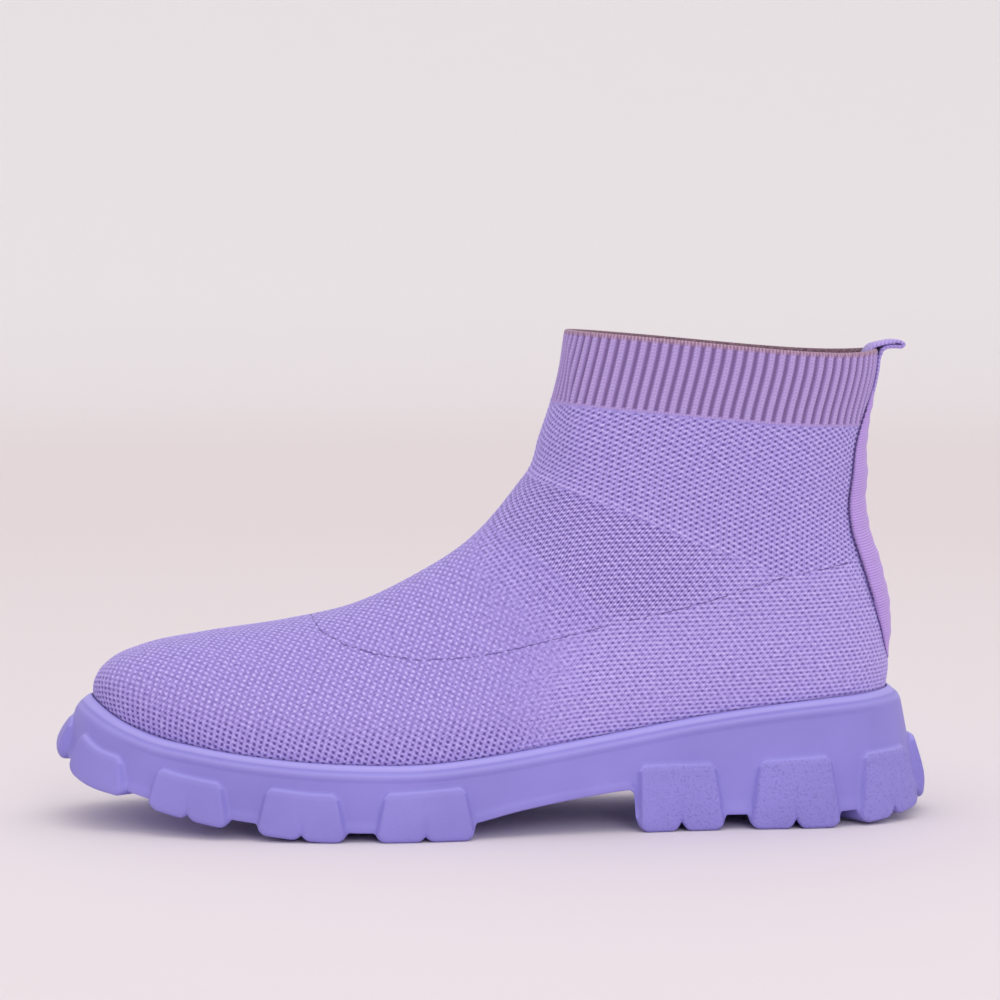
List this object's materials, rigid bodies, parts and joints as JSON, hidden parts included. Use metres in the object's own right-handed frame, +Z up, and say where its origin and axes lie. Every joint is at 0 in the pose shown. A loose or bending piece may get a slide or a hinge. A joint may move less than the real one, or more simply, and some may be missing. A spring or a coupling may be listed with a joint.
{
  "type": "slip-on ankle boot",
  "caption": "Slip-on ankle boot for the left foot: a knitted sock upper with a ribbed cuff, heel panel and pull loop on a moulded rubber sole with chunky lugs.",
  "frame": {"origin": "on the floor under the middle of the boot's box", "axes": "toe along -X, heel along +X, outer side of the foot along -Y, up along +Z"},
  "size_m": [0.2795, 0.1031, 0.1554],
  "materials": {
    "lilac_rubber": "semi-matte moulded rubber",
    "lilac_knit": "dense flat knit with pinholes and a ribbed cuff",
    "taupe_lining": "brushed lining cloth",
    "ribbed_elastic": "fine cross-ribbed elastic",
    "woven_tape": "flat woven tape"
  },
  "bodies": {
    "root": {"sole": "lilac_rubber", "upper": "lilac_knit", "insole": "taupe_lining", "heel_panel": "ribbed_elastic", "pull_loop": "woven_tape"}
  },
  "joints": []
}
